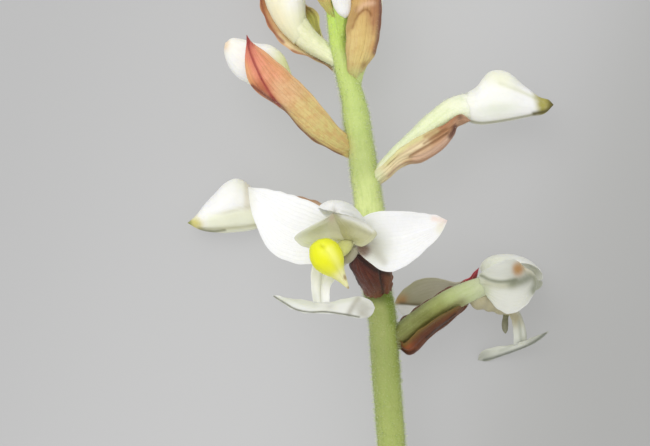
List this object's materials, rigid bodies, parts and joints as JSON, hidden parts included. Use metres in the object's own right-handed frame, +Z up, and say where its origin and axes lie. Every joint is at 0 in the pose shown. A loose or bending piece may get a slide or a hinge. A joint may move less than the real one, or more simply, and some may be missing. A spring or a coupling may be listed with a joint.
{
  "type": "cut jewel orchid flower spike",
  "caption": "Downy green flower spike lying flat, with open white flowers that have yellow anther caps, and white buds in brown bracts up to its tip.",
  "frame": {"origin": "centre of the bounding box, on the surface that the spike lies on", "axes": "+Z up from the surface, +Y along the stalk towards the tip of the spike, +X towards the lower flower"},
  "size_m": [0.0366, 0.0858, 0.021],
  "materials": {
    "stem_green": "soft green, downy",
    "ovary_green": "pale green, downy",
    "sepal_white": "soft satin white",
    "petal_grey_white": "soft satin grey-white",
    "lip_white": "soft satin white",
    "column_pale_green": "satin pale green",
    "anther_yellow": "satin yellow",
    "bud_white": "soft satin cream white with a greenish tip",
    "bract_dark_red": "matte dark red-brown, downy",
    "bract_brown": "matte brown, downy",
    "bract_tan": "matte tan and salmon red, downy"
  },
  "bodies": {
    "root": {"flower_stem": "stem_green", "front_flower_bract": "bract_dark_red", "front_flower_ovary": "ovary_green", "front_flower_dorsal_sepal": "sepal_white", "front_flower_left_petal": "petal_grey_white", "front_flower_right_petal": "petal_grey_white", "front_flower_left_sepal": "sepal_white", "front_flower_right_sepal": "sepal_white", "front_flower_lip": "lip_white", "front_flower_column": "column_pale_green", "front_flower_anther_cap": "anther_yellow", "lower_flower_bract": "bract_dark_red", "lower_flower_ovary": "ovary_green", "lower_flower_dorsal_sepal": "sepal_white", "lower_flower_near_petal": "petal_grey_white", "lower_flower_far_petal": "petal_grey_white", "lower_flower_near_sepal": "sepal_white", "lower_flower_far_sepal": "sepal_white", "lower_flower_lip": "lip_white", "lower_flower_column": "column_pale_green", "lower_flower_anther_cap": "anther_yellow", "left_bud_bract": "bract_brown", "left_bud_ovary": "ovary_green", "left_bud": "bud_white", "right_bud_bract": "bract_brown", "right_bud_ovary": "ovary_green", "right_bud": "bud_white", "upper_left_bud_bract": "bract_tan", "upper_left_bud_ovary": "ovary_green", "upper_left_bud": "bud_white", "top_left_bud_bract": "bract_brown", "top_left_bud_ovary": "ovary_green", "top_left_bud": "bud_white", "top_right_bud_bract": "bract_tan", "top_right_bud_ovary": "ovary_green", "top_right_bud": "bud_white", "top_front_bud_bract": "bract_tan", "top_front_bud_ovary": "ovary_green", "top_front_bud": "bud_white", "upper_bud_1": "bud_white", "upper_bud_1_bract": "bract_tan", "upper_bud_2": "bud_white", "upper_bud_2_bract": "bract_tan", "upper_bud_3": "bud_white", "upper_bud_3_bract": "bract_tan", "upper_bud_4": "bud_white", "upper_bud_4_bract": "bract_tan", "upper_bud_5": "bud_white", "upper_bud_5_bract": "bract_tan", "upper_bud_6": "bud_white", "upper_bud_6_bract": "bract_tan", "tip_bud": "bract_tan"}
  },
  "joints": []
}
